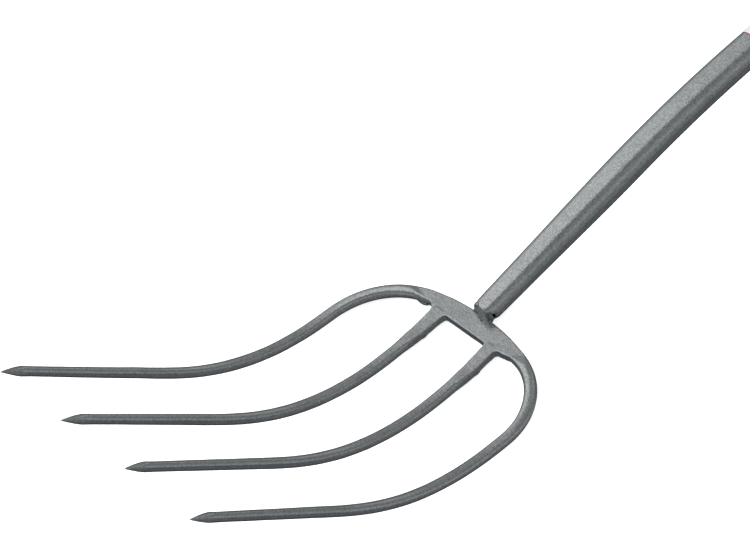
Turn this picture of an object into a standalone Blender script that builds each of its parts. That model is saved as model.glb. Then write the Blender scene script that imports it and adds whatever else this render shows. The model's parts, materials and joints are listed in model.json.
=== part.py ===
"""Digging fork with four round steel tines, a cranked steel tube for a shaft and a strapped D-grip.

The head is drawn flat and then folded up: x runs across the fork, s runs along its length from the
tine points, and h stands off the middle surface towards the hollow side. The whole fork then lies
on its belly, points up, with the grip bar on the ground, its length along +Y.
"""

import math

import bmesh
import bpy
import numpy as np
from mathutils import Euler, Matrix, Vector

# Driving dimensions, in metres and radians.
CLEARANCE = 0.0003  # between touching pieces

# Side shape of the head: straight points, then a bend that builds up, peaks and eases off.
BEND_START = 0.147
BEND_END = 0.361
HEAD_BEND = math.radians(43.9)
BEND_EASE = 0.776
PROFILE_STEP = 0.0005
PROFILE_LENGTH = 0.420

# Tines.
POINT_LENGTH = 0.020
POINT_RADIUS = 0.0006
TINE_RADIUS_LOW = 0.0037
TINE_RADIUS_ROOT = 0.0050
CORNER_BAR = 0.0053  # bar radius round the corners and along the crown
INNER_TINE_ROOT_X = 0.0307
INNER_TINE_SPLAY = 0.0061
INNER_JOINT_S = 0.360
OUTER_TINE_X = 0.1124
OUTER_TINE_TAPER = 0.0278
OUTER_LEG = 0.328
CORNER_BEND_RADIUS = 0.0639
CROWN_ANGLE = 0.2132
OUTER_JOINT_X = 0.046
TINE_SIDES = 4  # bevel resolution: 12 sides
WELD_BEVEL = 0.0024  # how far the end of a bar is chamfered in, for its weld
WELD_BEVEL_LENGTH = 0.0022
BEAD = 0.00115  # radius of a weld bead
BEAD_SINK = 0.0003  # how far a bead's centre lies under the bar's surface

# Crosspiece.
PLATE_S = 0.394
PLATE_THICKNESS = 0.0070
PLATE_EDGE = 0.0010
BAND_S = 0.3822
LUG_RADIUS = 0.0049
SPIGOT_RADIUS = 0.0083
TANG_END_RADIUS = 0.0060
TANG_LENGTH = 0.085

# Shaft.
NECK_Y = 0.3645
NECK_Z = 0.1109
NECK_ANGLE = math.radians(52.9)
NECK_RADIUS = 0.0105
CONE_LENGTH = 0.150
TUBE_RADIUS = 0.01345
TUBE_WALL = 0.0016
CRANK_START = 0.167
CRANK_RADIUS = 1.0
CRANK_ANGLE = math.radians(13.0)
TUBE_LENGTH = 0.600
LABEL_START = 0.306
LABEL_LENGTH = 0.095
LABEL_THICKNESS = 0.0003

# Grip.
STRAP_THICKNESS = 0.0025
STRAP_WIDTH = 0.0250
SADDLE_START = -0.062
SADDLE_END = -0.004
FLARE_END = 0.056
GRIP_HALF_WIDTH = 0.052
BAR_Y = 0.095
BAR_END_RADIUS = 0.0125
BAR_MIDDLE_RADIUS = 0.0160
BAR_BORE_RADIUS = 0.0044
BAR_PIN_RADIUS = 0.0040
WASHER_RADIUS = 0.0100
WASHER_THICKNESS = 0.0015
RIVET_RADIUS = 0.0025
RIVET_HEAD_RADIUS = 0.0046
RIVET_HEAD_HEIGHT = 0.0021
RIVET_YS = (-0.048, -0.017)
DRILL_SIDES = 20


# ---------------------------------------------------------------- scene

def clear_scene():
    for obj in list(bpy.data.objects):
        bpy.data.objects.remove(obj, do_unlink=True)


def new_collection(name):
    collection = bpy.data.collections.new(name)
    bpy.context.scene.collection.children.link(collection)
    return collection


def material(name, colour, roughness, metallic):
    made = bpy.data.materials.new(name)
    made.use_nodes = True
    shader = made.node_tree.nodes["Principled BSDF"]
    shader.inputs["Base Color"].default_value = (*colour, 1)
    shader.inputs["Roughness"].default_value = roughness
    shader.inputs["Metallic"].default_value = metallic
    return made


clear_scene()
FORK = new_collection("digging_fork")
CUTTERS = new_collection("cutters")
CUTTERS.hide_render = True

PAINT = material("grey_hammer_paint", (0.30, 0.32, 0.32), 0.40, 0.4)
WELD = material("painted_weld", (0.24, 0.25, 0.25), 0.50, 0.4)
ASH = material("ash_wood", (0.62, 0.44, 0.25), 0.50, 0.0)
STEEL = material("plain_steel", (0.55, 0.55, 0.53), 0.35, 1.0)
PLASTIC = material("black_plastic", (0.02, 0.02, 0.02), 0.45, 0.0)
PAPER = material("label_paper", (0.80, 0.79, 0.77), 0.50, 0.0)


# ---------------------------------------------------------------- shape of the folded head

def heading(s):
    """Angle of the middle surface above the tine points' direction, at s along the fork."""
    u = np.clip((s - BEND_START) / (BEND_END - BEND_START), 0.0, 1.0)
    return HEAD_BEND * ((1 - BEND_EASE) * u + BEND_EASE * u * u * (3 - 2 * u))


PROFILE_S = np.arange(0.0, PROFILE_LENGTH, PROFILE_STEP)
PROFILE_MIDDLE = heading(PROFILE_S + PROFILE_STEP / 2)
PROFILE_Y = np.concatenate([[0.0], np.cumsum(np.cos(PROFILE_MIDDLE)) * PROFILE_STEP])[:-1]
PROFILE_Z = np.concatenate([[0.0], np.cumsum(np.sin(PROFILE_MIDDLE)) * PROFILE_STEP])[:-1]


def on_head(x, s, h=0.0):
    """The point of the folded head at (x, s), h off the middle surface."""
    angle = float(heading(s))
    y = float(np.interp(s, PROFILE_S, PROFILE_Y)) - h * math.sin(angle)
    z = float(np.interp(s, PROFILE_S, PROFILE_Z)) + h * math.cos(angle)
    return Vector((x, y, z))


# ---------------------------------------------------------------- outline of the tines

def tine_radius(s):
    """A long taper, then a short conical point."""
    body = TINE_RADIUS_LOW + (TINE_RADIUS_ROOT - TINE_RADIUS_LOW) * s / INNER_JOINT_S
    return min(body, POINT_RADIUS + (TINE_RADIUS_LOW - POINT_RADIUS) * s / POINT_LENGTH)


def stations(start, end, step):
    return np.linspace(start, end, max(2, round((end - start) / step) + 1))


def crown_radius():
    bend = math.sin(math.pi - CROWN_ANGLE) - math.sin(math.pi / 2 + OUTER_TINE_TAPER)
    x = OUTER_TINE_X - OUTER_TINE_TAPER * OUTER_LEG + CORNER_BEND_RADIUS * bend
    return x / math.sin(CROWN_ANGLE)


def outer_flat_path(end_x):
    """(x, s, radius) of the right outer tine from its point to end_x on the crown."""
    path = []
    legs = np.concatenate([[0, POINT_LENGTH], stations(BEND_START, OUTER_LEG, 0.012)])
    for s in legs:
        path.append((OUTER_TINE_X - OUTER_TINE_TAPER * s, s, tine_radius(s)))
    x0, s0, root = path[-1]
    start = math.pi / 2 + OUTER_TINE_TAPER
    for turn in np.linspace(start, math.pi - CROWN_ANGLE, 12)[1:]:
        x = x0 + CORNER_BEND_RADIUS * (math.sin(turn) - math.sin(start))
        s = s0 + CORNER_BEND_RADIUS * (math.cos(start) - math.cos(turn))
        share = (turn - start) / (math.pi - CROWN_ANGLE - start)
        path.append((x, s, root + (CORNER_BAR - root) * share))
    radius = crown_radius()
    _, s1, _ = path[-1]
    centre = s1 - radius * math.cos(CROWN_ANGLE)
    ends = [math.asin(end_x / radius) + WELD_BEVEL_LENGTH / radius, math.asin(end_x / radius)]
    for angle, bar_radius in zip(ends, (CORNER_BAR, CORNER_BAR - WELD_BEVEL)):
        path.append((radius * math.sin(angle), centre + radius * math.cos(angle), bar_radius))
    return path, centre


CROWN_RADIUS = crown_radius()
CROWN_CENTRE_S = outer_flat_path(OUTER_JOINT_X)[1]
OUTER_JOINT_S = CROWN_CENTRE_S + math.sqrt(CROWN_RADIUS ** 2 - OUTER_JOINT_X ** 2)


# ---------------------------------------------------------------- shape of the shaft

def on_shaft(length, across=0.0, x=0.0):
    """The point at a length along the tube's axis, moved across it towards the hollow side."""
    turned = min(max(length - CRANK_START, 0.0) / CRANK_RADIUS, CRANK_ANGLE)
    before = min(length, CRANK_START)
    after = max(length - CRANK_START - CRANK_ANGLE * CRANK_RADIUS, 0.0)
    angle = NECK_ANGLE - turned
    y = NECK_Y + before * math.cos(NECK_ANGLE) + after * math.cos(angle)
    z = NECK_Z + before * math.sin(NECK_ANGLE) + after * math.sin(angle)
    y += CRANK_RADIUS * (math.sin(NECK_ANGLE) - math.sin(angle))
    z += CRANK_RADIUS * (math.cos(angle) - math.cos(NECK_ANGLE))
    return Vector((x, y - across * math.sin(angle), z + across * math.cos(angle)))


GRIP_ANGLE = NECK_ANGLE - CRANK_ANGLE


def tube_radius(length):
    return NECK_RADIUS + (TUBE_RADIUS - NECK_RADIUS) * min(max(length, 0.0) / CONE_LENGTH, 1.0)


# ---------------------------------------------------------------- how the fork lies

def low_points():
    """Points under the belly, each with its radius: along an inner tine, and at an outer weld."""
    tine = [(on_head(0, s), tine_radius(s)) for s in np.linspace(BEND_START, INNER_JOINT_S, 60)]
    return tine + [(on_head(0, OUTER_JOINT_S), CORNER_BAR - BEAD_SINK + BEAD)]


def lowest(points, tilt):
    return min(p.z * math.cos(tilt) - p.y * math.sin(tilt) - radius for p, radius in points)


def lying_tilt():
    """The tilt at which the belly and the grip bar touch the ground together."""
    belly = low_points()
    grip_bar_point = [(on_shaft(TUBE_LENGTH + BAR_Y), BAR_MIDDLE_RADIUS)]
    low, high = math.radians(30), math.radians(60)
    for _ in range(50):
        middle = (low + high) / 2
        above = lowest(grip_bar_point, middle) > lowest(belly, middle)
        low, high = (middle, high) if above else (low, middle)
    return low


TILT = lying_tilt()


def lay_down():
    """An empty that lays the fork on the ground, over the middle of its footprint."""
    turn = Euler((-TILT, 0, 0)).to_matrix()
    point = (turn @ on_head(0, 0, -POINT_RADIUS)).y
    end = (turn @ on_shaft(TUBE_LENGTH + BAR_Y)).y + BAR_MIDDLE_RADIUS
    empty = bpy.data.objects.new("fork_on_the_ground", None)
    empty.rotation_euler = (-TILT, 0, 0)
    empty.location = (0, -(point + end) / 2, -lowest(low_points(), TILT))
    FORK.objects.link(empty)
    return empty


GROUND = lay_down()

GRIP = bpy.data.objects.new("grip_axis", None)
GRIP.parent = GROUND
GRIP.location = on_shaft(TUBE_LENGTH)
GRIP.rotation_euler = (GRIP_ANGLE, 0, 0)
FORK.objects.link(GRIP)

PLATE = bpy.data.objects.new("plate_plane", None)
PLATE.parent = GROUND
PLATE.location = on_head(0, PLATE_S)
PLATE.rotation_euler = (HEAD_BEND, 0, 0)
FORK.objects.link(PLATE)


# ---------------------------------------------------------------- makers

def add(obj, parent, slot=None, collection=None):
    obj.parent = parent
    (collection or FORK).objects.link(obj)
    if slot:
        obj.data.materials.append(slot)
    return obj


def hide_cutter(obj):
    obj.hide_render = True
    obj.display_type = "WIRE"
    return obj


def bar(name, points, radii, parent=GROUND, sides=TINE_SIDES, slot=PAINT, collection=None):
    """A round bar through the points, with a radius at each of them."""
    curve = bpy.data.curves.new(name, "CURVE")
    curve.dimensions = "3D"
    curve.bevel_depth = 1.0
    curve.bevel_resolution = sides
    curve.use_fill_caps = True
    spline = curve.splines.new("POLY")
    spline.points.add(len(points) - 1)
    for knot, point, radius in zip(spline.points, points, radii):
        knot.co = (*point, 1)
        knot.radius = radius
    return add(bpy.data.objects.new(name, curve), parent, slot, collection)


def flat_piece(name, outline, thickness, edge, parent, slot=PAINT, collection=None):
    """A flat outline with rounded edges, centred on its parent's XY plane."""
    curve = bpy.data.curves.new(name, "CURVE")
    curve.dimensions = "2D"
    curve.fill_mode = "BOTH"
    curve.extrude = thickness / 2 - edge
    curve.bevel_depth = edge
    curve.offset = -edge
    curve.bevel_resolution = 1
    spline = curve.splines.new("POLY")
    spline.points.add(len(outline) - 1)
    for knot, (x, y) in zip(spline.points, outline):
        knot.co = (x, y, 0, 1)
    spline.use_cyclic_u = True
    return add(bpy.data.objects.new(name, curve), parent, slot, collection)


def as_mesh(obj):
    """The curve object as a closed mesh object in the same place."""
    bpy.context.view_layer.update()
    graph = bpy.context.evaluated_depsgraph_get()
    mesh = bpy.data.meshes.new_from_object(obj.evaluated_get(graph))
    name, parent, local, home = obj.name, obj.parent, obj.matrix_local.copy(), obj.users_collection[0]
    slots = [slot for slot in obj.data.materials]
    bpy.data.objects.remove(obj, do_unlink=True)
    shell = bmesh.new()
    shell.from_mesh(mesh)
    bmesh.ops.remove_doubles(shell, verts=shell.verts, dist=0.00001)
    bmesh.ops.recalc_face_normals(shell, faces=shell.faces)
    shell.to_mesh(mesh)
    shell.free()
    made = bpy.data.objects.new(name, mesh)
    home.objects.link(made)
    made.parent = parent
    made.matrix_local = local
    mesh.materials.clear()
    for slot in slots:
        mesh.materials.append(slot)
    return made


def boolean(target, other, operation):
    modifier = target.modifiers.new(f"{operation.lower()}_{other.name}", "BOOLEAN")
    modifier.operation = operation
    modifier.solver = "EXACT"
    modifier.object = other
    hide_cutter(other)


def turned(name, profile, parent, location=(0, 0, 0), slot=STEEL, steps=24):
    """A turned piece about the parent's X axis: profile points are (radius, x), outer side downwards."""
    mesh = bpy.data.meshes.new(name)
    points = [(radius, 0, x) for radius, x in profile]
    mesh.from_pydata(points, [(i, i + 1) for i in range(len(points) - 1)], [])
    obj = add(bpy.data.objects.new(name, mesh), parent, slot)
    obj.location = location
    obj.rotation_euler = (0, math.radians(90), 0)
    screw = obj.modifiers.new("turn", "SCREW")
    screw.axis = "Z"
    screw.steps = steps
    screw.render_steps = steps
    screw.use_merge_vertices = True
    screw.merge_threshold = 0.00001
    return obj


def cross_drill(name, radius, y, half_length, parent):
    """A cutter for a hole along the parent's X axis."""
    mesh = bpy.data.meshes.new(name)
    shape = bmesh.new()
    half_step = Matrix.Rotation(math.pi / DRILL_SIDES + 0.05, 4, "Z")
    bmesh.ops.create_cone(shape, cap_ends=True, segments=DRILL_SIDES, radius1=radius,
                          radius2=radius, depth=2 * half_length, matrix=half_step)
    shape.to_mesh(mesh)
    shape.free()
    obj = add(bpy.data.objects.new(name, mesh), parent, collection=CUTTERS)
    obj.location = (0, y, 0)
    obj.rotation_euler = (0, math.radians(90), 0)
    return hide_cutter(obj)


# ---------------------------------------------------------------- tines

def inner_tine(name, side):
    bevel_start = INNER_JOINT_S - WELD_BEVEL_LENGTH
    ss = np.concatenate([[0, POINT_LENGTH], stations(BEND_START, bevel_start, 0.012)])
    radii = [tine_radius(s) for s in ss] + [TINE_RADIUS_ROOT - WELD_BEVEL]
    ss = np.append(ss, INNER_JOINT_S - CLEARANCE / 2)
    xs = INNER_TINE_ROOT_X + INNER_TINE_SPLAY * (1 - ss / INNER_JOINT_S)
    points = [on_head(side * x, s) for x, s in zip(xs, ss)]
    return as_mesh(bar(name, points, radii))


def outer_tine(name, side):
    path, _ = outer_flat_path(OUTER_JOINT_X + CLEARANCE / 2)
    points = [on_head(side * x, s) for x, s, _ in path]
    return as_mesh(bar(name, points, [radius for _, _, radius in path]))


for word, sign in (("left", -1), ("right", 1)):
    outer_tine(f"outer_tine_{word}", sign)
    inner_tine(f"inner_tine_{word}", sign)


# ---------------------------------------------------------------- crosspiece

def plate_outline():
    """The crosspiece seen square on: a crown arc above, two lugs below, and webs between."""
    radius = CROWN_RADIUS
    top = []
    for angle in np.linspace(-1, 1, 17) * math.asin((OUTER_JOINT_X - 0.0025) / radius):
        top.append((radius * math.sin(angle), CROWN_CENTRE_S + radius * math.cos(angle) + 0.003))
    lug = INNER_TINE_ROOT_X
    half = [(0.0424, 0.3838), (0.0405, 0.3822), (0.0384, 0.3800), (0.0368, 0.3765), (0.0360, 0.3720),
            (lug + 0.0040, 0.3660), (lug - 0.0040, 0.3660), (0.0252, 0.3730), (0.0244, 0.3770),
            (0.0226, 0.3805), (0.0195, BAND_S)]
    below = half + [(-x, s) for x, s in reversed(half)]
    return [(x, s - PLATE_S) for x, s in top + below]


def crosspiece():
    body = as_mesh(flat_piece("crosspiece", plate_outline(), PLATE_THICKNESS, PLATE_EDGE, PLATE))
    radius = CROWN_RADIUS
    end = math.asin((OUTER_JOINT_X - CLEARANCE / 2) / radius)
    inside = end - WELD_BEVEL_LENGTH / radius
    angles = [-end, *np.linspace(-inside, inside, 9), end]
    radii = [CORNER_BAR - WELD_BEVEL] + [CORNER_BAR] * 9 + [CORNER_BAR - WELD_BEVEL]
    crown = [on_head(radius * math.sin(a), CROWN_CENTRE_S + radius * math.cos(a)) for a in angles]
    pieces = [bar("crown_bar", crown, radii, collection=CUTTERS)]
    for word, sign in (("left", -1), ("right", 1)):
        ss = (INNER_JOINT_S + CLEARANCE / 2, INNER_JOINT_S + WELD_BEVEL_LENGTH, 0.386)
        points = [on_head(sign * INNER_TINE_ROOT_X, s) for s in ss]
        radii = (TINE_RADIUS_ROOT - WELD_BEVEL, TINE_RADIUS_ROOT, LUG_RADIUS)
        pieces.append(bar(f"lug_bar_{word}", points, radii, collection=CUTTERS))
    tang = [(-0.0085, -0.0030, 0.0040), (-0.0055, -0.0010, 0.0065), (-0.0025, 0, SPIGOT_RADIUS),
            (0.0120, 0, SPIGOT_RADIUS), (TANG_LENGTH - 0.004, 0, TANG_END_RADIUS),
            (TANG_LENGTH, 0, TANG_END_RADIUS - 0.003)]
    spigot = [on_shaft(length, across) for length, across, _ in tang]
    pieces.append(bar("spigot", spigot, [r for _, _, r in tang], sides=6, collection=CUTTERS))
    for piece in pieces:
        boolean(body, as_mesh(piece), "UNION")
    return body


crosspiece()


# ---------------------------------------------------------------- welds

def ring(name, centre, along, side, radius, thickness, start=0.0, end=2 * math.pi, count=20):
    """A weld bead round a bar that runs along; it leaves a gap where it doesn't go all the way."""
    along = along.normalized()
    side = (side - along * side.dot(along)).normalized()
    up = side.cross(along)
    whole = end - start > 6.28
    curve = bpy.data.curves.new(name, "CURVE")
    curve.dimensions = "3D"
    curve.bevel_depth = thickness
    curve.bevel_resolution = 2
    curve.use_fill_caps = not whole
    spline = curve.splines.new("POLY")
    spline.points.add(count - 1)
    for knot, angle in zip(spline.points, np.linspace(start, end, count, endpoint=not whole)):
        knot.co = (*(centre + (side * math.cos(angle) + up * math.sin(angle)) * radius), 1)
    spline.use_cyclic_u = whole
    return as_mesh(add(bpy.data.objects.new(name, curve), GROUND, WELD))


def tine_welds():
    across = Vector((1, 0, 0))
    for word, sign in (("left", -1), ("right", 1)):
        x = sign * INNER_TINE_ROOT_X
        centre = on_head(x, INNER_JOINT_S)
        along = on_head(x, INNER_JOINT_S + 0.001) - centre
        ring(f"inner_weld_{word}", centre, along, across, TINE_RADIUS_ROOT - BEAD_SINK, BEAD)
        x, s = sign * OUTER_JOINT_X, OUTER_JOINT_S
        centre = on_head(x, s)
        slope = OUTER_JOINT_X / (s - CROWN_CENTRE_S)
        along = on_head(x - sign * 0.001, s + 0.001 * slope) - centre
        down = on_head(0, s) - on_head(0, s + 0.001)
        ring(f"outer_weld_{word}", centre, along, down, CORNER_BAR - BEAD_SINK, BEAD)


tine_welds()
ring("neck_weld", on_shaft(-0.0017), on_shaft(0.01) - on_shaft(0), Vector((1, 0, 0)), 0.0098,
     0.0012, math.radians(-330), math.radians(-50), 22)


# ---------------------------------------------------------------- shaft

def tube_stations(start, end):
    bend_end = CRANK_START + CRANK_ANGLE * CRANK_RADIUS
    marks = [start, CONE_LENGTH, *np.linspace(CRANK_START, bend_end, 9), end]
    return sorted(float(m) for m in marks)


def shaft():
    lengths = tube_stations(0.0, TUBE_LENGTH)
    tube = bar("shaft_tube", [on_shaft(l) for l in lengths], [tube_radius(l) for l in lengths],
               sides=10)
    tube.data.use_fill_caps = False
    tube = as_mesh(tube)
    wall = tube.modifiers.new("wall", "SOLIDIFY")
    wall.thickness = TUBE_WALL
    wall.offset = -1
    wall.use_even_offset = True
    for index, y in enumerate(RIVET_YS):
        drill = cross_drill(f"tube_hole_{index}", RIVET_RADIUS + CLEARANCE, y, 0.02, GRIP)
        boolean(tube, drill, "DIFFERENCE")
    return tube


shaft()


def label():
    """A sleeve of label stock round the front of the tube."""
    lengths = stations(LABEL_START, LABEL_START + LABEL_LENGTH, 0.016)
    inner = TUBE_RADIUS + CLEARANCE
    rows = []
    for length in lengths:
        row = []
        for angle in np.radians(np.linspace(-20, 200, 21)):
            row.append(on_shaft(length, inner * math.sin(angle), inner * math.cos(angle)))
        rows.append(row)
    obj = sheet("label", rows, GROUND, PAPER)
    solid = obj.modifiers.new("thickness", "SOLIDIFY")
    solid.thickness = LABEL_THICKNESS
    solid.offset = -1
    return obj


def sheet(name, rows, parent, slot):
    """A surface through rows of points, facing away from the side that the rows turn round."""
    mesh = bpy.data.meshes.new(name)
    shape = bmesh.new()
    grid = [[shape.verts.new(point) for point in row] for row in rows]
    for a, b in zip(grid, grid[1:]):
        for i in range(len(a) - 1):
            shape.faces.new((a[i], a[i + 1], b[i + 1], b[i]))
    shape.to_mesh(mesh)
    shape.free()
    return add(bpy.data.objects.new(name, mesh), parent, slot)


label()


# ---------------------------------------------------------------- grip

def smooth(value):
    value = min(max(value, 0.0), 1.0)
    return value * value * (3 - 2 * value)


def strap_rows(side):
    """Rows across a strap: a saddle on the tube that opens out and flattens towards the bar."""
    saddle_x = TUBE_RADIUS + CLEARANCE + STRAP_THICKNESS / 2
    straight = BAR_Y + np.linspace(-0.020, 0.0, 3)
    ys = np.concatenate([stations(SADDLE_START, SADDLE_END, 0.0145),
                         np.linspace(SADDLE_END, FLARE_END, 12)[1:], straight])
    widths = [STRAP_WIDTH] * len(ys)
    for angle in np.radians(np.linspace(0, 75, 6))[1:]:
        ys = np.append(ys, BAR_Y + STRAP_WIDTH / 2 * math.sin(angle))
        widths.append(STRAP_WIDTH * math.cos(angle))
    rows = []
    for y, width in zip(ys, widths):
        share = smooth((y - SADDLE_END) / (FLARE_END - SADDLE_END))
        bend = 1 / saddle_x * (1 - smooth((y - SADDLE_END) / (0.6 * (FLARE_END - SADDLE_END))))
        centre_x = saddle_x + (GRIP_HALF_WIDTH - saddle_x) * share
        row = []
        for across in np.linspace(-width / 2, width / 2, 11):
            if bend > 1.0:
                x = centre_x - (1 - math.cos(across * bend)) / bend
                z = math.sin(across * bend) / bend
            else:
                x, z = centre_x, across
            row.append((side * x, y, z * side))
        rows.append(row)
    return rows


def strap(name, side):
    obj = sheet(name, strap_rows(side), GRIP, PAINT)
    solid = obj.modifiers.new("thickness", "SOLIDIFY")
    solid.thickness = STRAP_THICKNESS
    solid.offset = 0
    solid.use_even_offset = True
    for index, y in enumerate(RIVET_YS):
        drill = cross_drill(f"{name}_hole_{index}", RIVET_RADIUS + CLEARANCE, y, 0.03, GRIP)
        boolean(obj, drill, "DIFFERENCE")
    eye = cross_drill(f"{name}_eye", BAR_PIN_RADIUS + CLEARANCE, BAR_Y, 0.07, GRIP)
    boolean(obj, eye, "DIFFERENCE")
    return obj


strap("grip_strap_left", -1)
strap("grip_strap_right", 1)


def domed_pin(name, pin_radius, head_radius, head_height, half_length, y):
    """A pin with a domed head at each end, along X."""
    dome = [(head_radius * math.cos(a), half_length + head_height * math.sin(a))
            for a in np.radians([90, 65, 40, 15, 0])]
    dome[0] = (0, half_length + head_height)
    upper = dome + [(pin_radius, half_length)]
    lower = [(radius, -x) for radius, x in reversed(upper)]
    return turned(name, upper + lower, GRIP, (0, y, 0))


strap_face = TUBE_RADIUS + CLEARANCE + STRAP_THICKNESS + CLEARANCE
domed_pin("strap_rivet_lower", RIVET_RADIUS, RIVET_HEAD_RADIUS, RIVET_HEAD_HEIGHT, strap_face,
          RIVET_YS[0])
domed_pin("strap_rivet_upper", RIVET_RADIUS, RIVET_HEAD_RADIUS, RIVET_HEAD_HEIGHT, strap_face,
          RIVET_YS[1])

bar_half = GRIP_HALF_WIDTH - STRAP_THICKNESS / 2 - CLEARANCE
washer_inner = GRIP_HALF_WIDTH + STRAP_THICKNESS / 2 + CLEARANCE
washer_outer = washer_inner + WASHER_THICKNESS


def grip_bar():
    """A barrel-shaped wooden bar, bored through for its pin."""
    outside = []
    for x in np.linspace(bar_half, -bar_half, 15):
        swell = math.cos(math.pi / 2 * x / bar_half)
        outside.append((BAR_END_RADIUS + (BAR_MIDDLE_RADIUS - BAR_END_RADIUS) * swell, x))
    bore = [(BAR_BORE_RADIUS, -bar_half), (BAR_BORE_RADIUS, bar_half)]
    turned("grip_bar", outside + bore + outside[:1], GRIP, (0, BAR_Y, 0), ASH, 28)


def washer(name, side):
    hole = BAR_PIN_RADIUS + CLEARANCE
    inner, outer = sorted((side * washer_inner, side * washer_outer))
    profile = [(WASHER_RADIUS, outer), (WASHER_RADIUS, inner), (hole, inner), (hole, outer),
               (WASHER_RADIUS, outer)]
    turned(name, profile, GRIP, (0, BAR_Y, 0))


grip_bar()
washer("grip_washer_left", -1)
washer("grip_washer_right", 1)
domed_pin("grip_bar_rivet", BAR_PIN_RADIUS, 0.0070, 0.0032, washer_outer + CLEARANCE, BAR_Y)


def end_plug():
    """A plug with a low domed head that closes the top of the tube."""
    body = TUBE_RADIUS - TUBE_WALL - CLEARANCE
    head = TUBE_RADIUS - 0.0002
    profile = [(0, 0.0042), (head * 0.6, 0.0037), (head * 0.92, 0.0024), (head, 0.0012),
               (head, CLEARANCE), (body, CLEARANCE), (body, -0.0120), (body - 0.001, -0.0135),
               (0, -0.0135)]
    obj = turned("shaft_end_plug", profile, GRIP, (0, 0, 0), PLASTIC, 28)
    obj.rotation_euler = (math.radians(-90), 0, 0)


end_plug()


def shade_round_pieces():
    for obj in FORK.objects:
        if obj.type == "MESH":
            obj.data.shade_smooth()
            obj.data.set_sharp_from_angle(angle=math.radians(35))


shade_round_pieces()
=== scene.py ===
"""The looks of a four-tine digging fork, lying hollow side up on a pale studio floor."""
import json
import math

import bmesh
import bpy
import numpy as np
from mathutils import Matrix, Vector, noise


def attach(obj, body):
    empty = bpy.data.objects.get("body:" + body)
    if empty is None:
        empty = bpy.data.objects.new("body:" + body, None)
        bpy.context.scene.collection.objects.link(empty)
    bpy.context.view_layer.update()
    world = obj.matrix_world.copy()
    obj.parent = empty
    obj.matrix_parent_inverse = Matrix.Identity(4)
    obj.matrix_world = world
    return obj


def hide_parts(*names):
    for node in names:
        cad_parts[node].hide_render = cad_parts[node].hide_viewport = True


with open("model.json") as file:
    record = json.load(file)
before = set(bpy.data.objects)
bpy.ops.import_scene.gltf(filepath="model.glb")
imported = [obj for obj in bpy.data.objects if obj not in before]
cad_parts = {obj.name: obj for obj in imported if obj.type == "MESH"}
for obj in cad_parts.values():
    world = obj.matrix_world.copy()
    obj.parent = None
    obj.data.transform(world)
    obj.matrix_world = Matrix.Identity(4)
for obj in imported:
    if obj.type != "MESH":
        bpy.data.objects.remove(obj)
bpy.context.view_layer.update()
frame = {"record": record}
RECORD = frame["record"]

# ---------------------------------------------------------------- camera
# A long lens, high over the tine points and to one side, looks along the fork towards its grip
# and is rolled a little, so that the shaft climbs to the upper right corner.
CAMERA_PLACE = Vector((2.30994, -1.39721, 2.85285))
CAMERA_AIM = Vector((-0.08519, -0.22072, 0.030))
CAMERA_ROLL = math.radians(-20.72)
CAMERA_LENS = 240.46

camera = bpy.data.objects.new("camera", bpy.data.cameras.new("camera"))
camera.data.lens = CAMERA_LENS
camera.data.sensor_width = 36
camera.data.clip_end = 200
looking = (CAMERA_AIM - CAMERA_PLACE).to_track_quat("-Z", "Y").to_matrix().to_4x4()
camera.matrix_world = Matrix.Translation(CAMERA_PLACE) @ looking @ Matrix.Rotation(CAMERA_ROLL, 4, "Z")
bpy.context.scene.collection.objects.link(camera)
bpy.context.scene.camera = camera

# ---------------------------------------------------------------- crosspiece
# The forged heart of the head: a crescent plate about 7 mm thick, with a flat lug below for each
# inner tine, an arm at each side for an outer tine, and a round tang above for the shaft.
# It is hot-forged in one piece, so every inside corner is a soft fillet, and is enamelled grey.
HEAD_BEND = math.radians(43.9)
BEND_START, BEND_END, BEND_EASE = 0.147, 0.361, 0.776
PROFILE_STEP = 0.0005
BACK_MOUNT_S = 0.3865
PLATE_HALF = 0.0035
CROWN_ANGLE = 0.2132
OUTER_TINE_X, OUTER_TINE_TAPER, OUTER_LEG = 0.1124, 0.0278, 0.328
CORNER_BEND_RADIUS = 0.0639
CORNER_BAR = 0.0053
OUTER_JOINT_X = 0.046
INNER_TINE_X, INNER_TINE_SPLAY, INNER_JOINT_S = 0.0307, 0.0061, 0.360
LUG_HALF = 0.0056
LUG_X = {-1: -0.0324, 1: 0.0295}
LUG_ROOT_HALF = {-1: 0.0068, 1: 0.0060}
LUG_ROOT_X = {-1: -0.0335, 1: 0.0270}


def clamped(value):
    return min(max(value, 0), 1)


def smooth(value):
    """0 below 0, 1 above 1, and a soft rise between them."""
    value = clamped(value)
    return value * value * (3 - 2 * value)


def heading(s):
    """Angle of the head's middle surface above the points' direction, s along from the points."""
    u = np.clip((s - BEND_START) / (BEND_END - BEND_START), 0, 1)
    return HEAD_BEND * ((1 - BEND_EASE) * u + BEND_EASE * u * u * (3 - 2 * u))


PROFILE_S = np.arange(0, 0.42, PROFILE_STEP)
PROFILE_TURN = heading(PROFILE_S + PROFILE_STEP / 2)
PROFILE_Y = np.concatenate([[0], np.cumsum(np.cos(PROFILE_TURN)) * PROFILE_STEP])[:-1]
PROFILE_Z = np.concatenate([[0], np.cumsum(np.sin(PROFILE_TURN)) * PROFILE_STEP])[:-1]


def unlaid(x, s, h):
    """A point of the head before the fork is laid down, h off the middle surface."""
    turn = float(heading(s))
    y = float(np.interp(s, PROFILE_S, PROFILE_Y)) + min(s, 0) - h * math.sin(turn)
    z = float(np.interp(s, PROFILE_S, PROFILE_Z)) + h * math.cos(turn)
    return Vector((x, y, z))


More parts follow.
